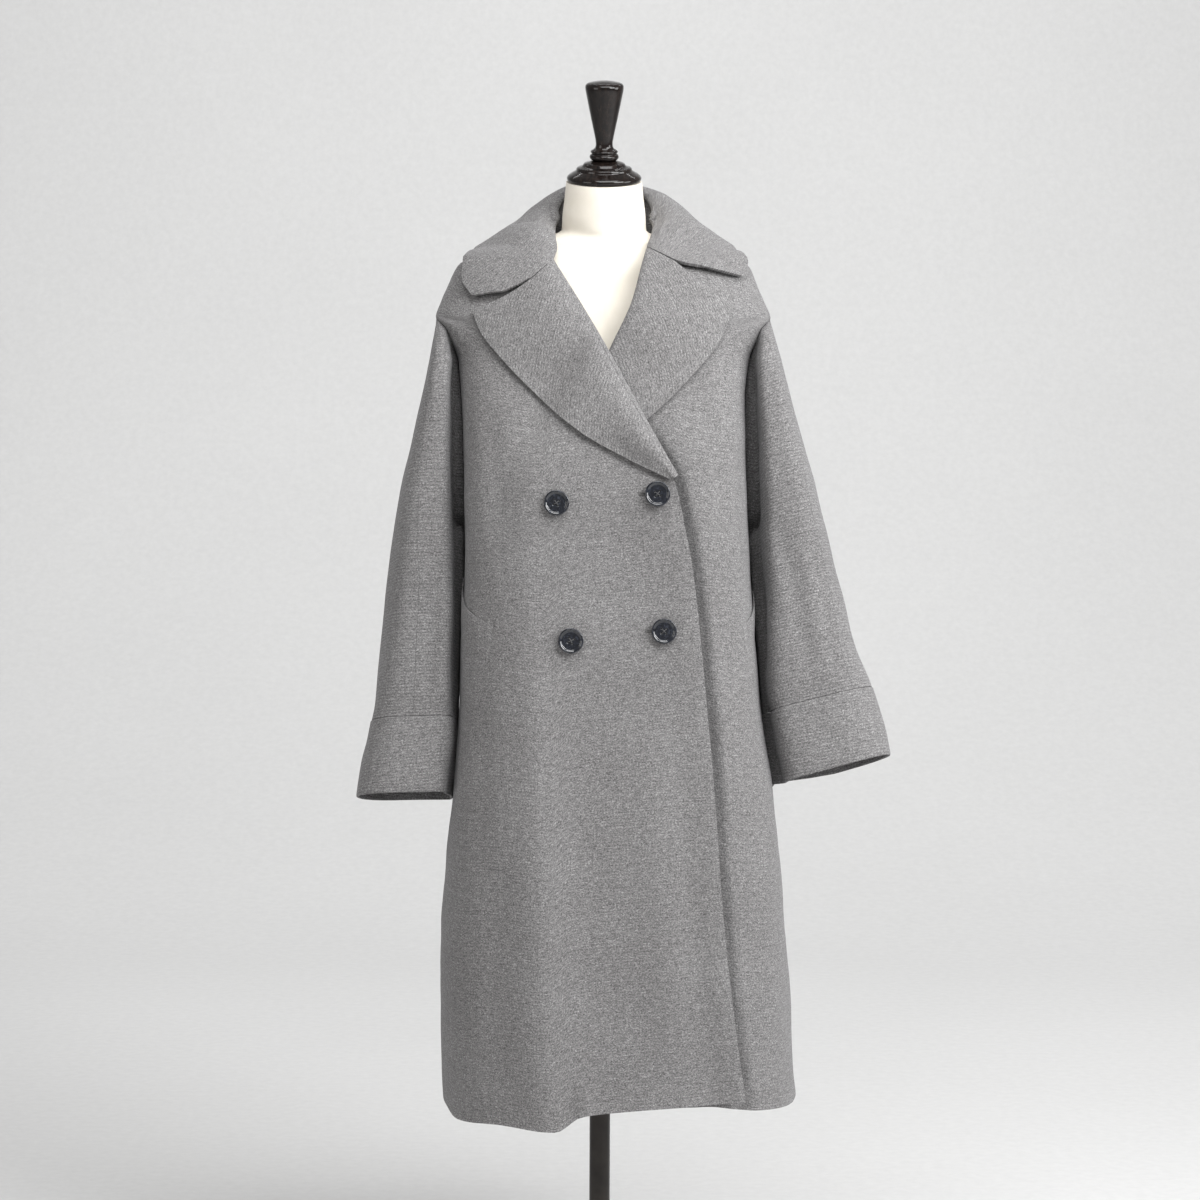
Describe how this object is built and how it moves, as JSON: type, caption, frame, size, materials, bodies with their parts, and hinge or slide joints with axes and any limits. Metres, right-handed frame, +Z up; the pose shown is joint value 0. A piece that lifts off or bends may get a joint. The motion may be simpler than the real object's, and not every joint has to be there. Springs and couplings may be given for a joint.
{
  "type": "tent coat on a dress form",
  "caption": "Double-breasted wool tent coat with a wide collar, broad revers and banded cuffs, worn by a limbless dress form on a pole and round base.",
  "frame": {"origin": "middle of the base's underside, on the axis of the pole; the floor is z = 0", "axes": "+Z up, the coat's front faces -Y, +X is the wearer's left"},
  "size_m": [0.6745, 0.4568, 1.5921],
  "materials": {
    "grey_wool": "brushed nap",
    "ivory_linen": "matt weave",
    "dark_button": "polished",
    "dark_turned_wood": "gloss lacquer",
    "dark_pole_metal": "satin",
    "dark_base_metal": "satin"
  },
  "bodies": {
    "root": {"front_right": "grey_wool", "front_left": "grey_wool", "back": "grey_wool", "sleeve_right_front": "grey_wool", "sleeve_right_back": "grey_wool", "sleeve_left_front": "grey_wool", "sleeve_left_back": "grey_wool", "cuff_right": "grey_wool", "cuff_left": "grey_wool", "lapel_right": "grey_wool", "lapel_left": "grey_wool", "collar": "grey_wool", "collar_stand": "grey_wool", "pocket_welt_right": "grey_wool", "pocket_welt_left": "grey_wool", "button_upper_right": "dark_button", "button_upper_left": "dark_button", "button_lower_right": "dark_button", "button_lower_left": "dark_button", "form_torso": "ivory_linen", "neck_cap": "dark_turned_wood", "finial": "dark_turned_wood", "pole": "dark_pole_metal", "pole_socket": "dark_pole_metal", "base": "dark_base_metal"}
  },
  "joints": []
}
